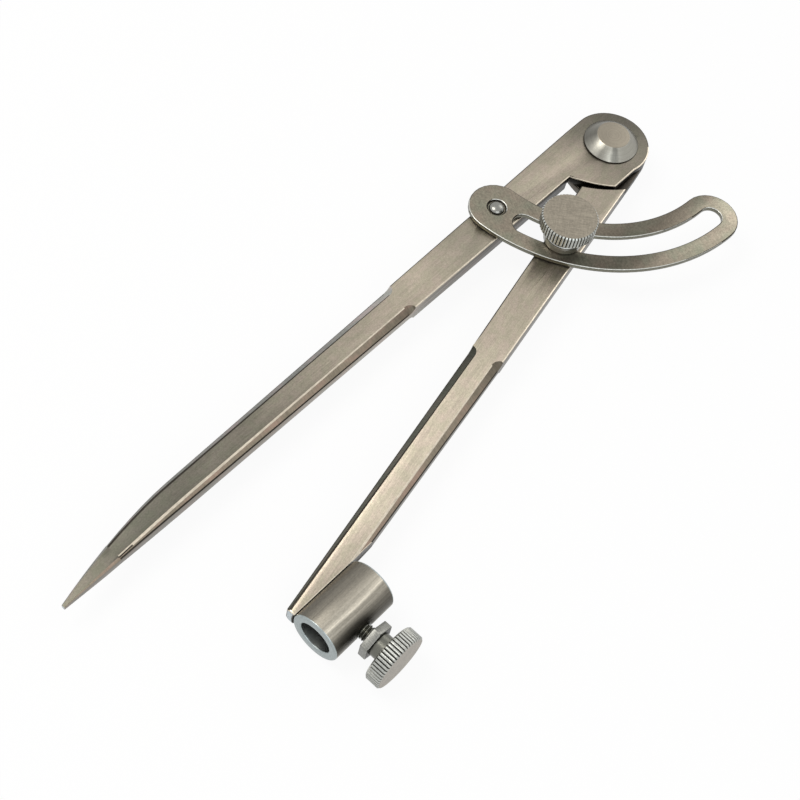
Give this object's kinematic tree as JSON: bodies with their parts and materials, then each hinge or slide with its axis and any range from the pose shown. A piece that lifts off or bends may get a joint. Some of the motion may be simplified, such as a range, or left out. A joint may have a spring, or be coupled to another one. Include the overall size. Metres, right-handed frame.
{
  "type": "carpenter pencil compass",
  "caption": "Steel wing compass for marking out: lap-hinged legs, one pointed and one with a clamped pencil sleeve, locked by a thumb screw on a slotted arc wing.",
  "frame": {"origin": "on the hinge axis, at the flat face under the hinge, where the shank's end and the rear collar are flush", "axes": "+Z along the hinge axis towards the conical rivet head; -Y along the point leg to its point; +X towards the side to which the pencil leg opens"},
  "size_m": [0.0712, 0.1986, 0.0203],
  "materials": {
    "ground_steel": "ground along the legs, warm grey",
    "turned_steel": "turned, with fine rings",
    "sheet_steel": "satin sheet",
    "bright_steel": "bright turned"
  },
  "bodies": {
    "point_leg_body": {"point_leg": "ground_steel", "hinge_rivet": "turned_steel", "hinge_rear_collar": "turned_steel", "wing_rivet": "bright_steel"},
    "pencil_leg_body": {"pencil_leg": "ground_steel", "pencil_sleeve": "turned_steel"},
    "wing_body": {"wing": "sheet_steel"},
    "lock_screw_shank": {"wing_lock_stud": "bright_steel", "wing_clamp_washer": "turned_steel"},
    "lock_screw_head": {"wing_lock_knob": "bright_steel"},
    "clamp_screw_shank": {"pencil_clamp_stud": "bright_steel"},
    "clamp_screw_head": {"pencil_clamp_knob": "bright_steel"},
    "clamp_nut": {"clamp_lock_nut": "bright_steel"}
  },
  "joints": [
    {"name": "legs_hinge", "type": "hinge", "parent": "point_leg_body", "child": "pencil_leg_body", "pos_m": [0, 0, 0.00546], "axis": [0, 0, 1], "range_deg": [-11.7, 60]},
    {"name": "wing_swing", "type": "hinge", "parent": "point_leg_body", "child": "wing_body", "pos_m": [-0.00595, -0.0405, 0.0087], "axis": [0, 0, 1], "range_deg": [-7.25, 1.5]},
    {"name": "lock_screw_slide", "type": "slide", "parent": "pencil_leg_body", "child": "lock_screw_shank", "axis": [0, 0, 1], "range_m": [0, 0.0014]},
    {"name": "lock_screw_spin", "type": "hinge", "parent": "lock_screw_shank", "child": "lock_screw_head", "pos_m": [0.01181, -0.0358, 0.0152], "axis": [0, 0, 1], "range_deg": [0, 722]},
    {"name": "clamp_screw_slide", "type": "slide", "parent": "pencil_leg_body", "child": "clamp_screw_shank", "axis": [1, 0, 0], "range_m": [-0.0013, 0.0007]},
    {"name": "clamp_screw_spin", "type": "hinge", "parent": "clamp_screw_shank", "child": "clamp_screw_head", "pos_m": [0.0555, -0.14692, 0.00546], "axis": [1, 0, 0], "range_deg": [-670, 362]},
    {"name": "lock_nut_slide", "type": "slide", "parent": "clamp_screw_shank", "child": "clamp_nut", "axis": [1, 0, 0], "range_m": [-0.0006, 0]}
  ],
  "couplings": [
    {"joint": "wing_swing", "follows": "legs_hinge", "ratio": -0.1185},
    {"joint": "lock_screw_spin", "follows": "lock_screw_slide", "rad_per_m": 8976},
    {"joint": "clamp_screw_spin", "follows": "clamp_screw_slide", "rad_per_m": 8976}
  ]
}
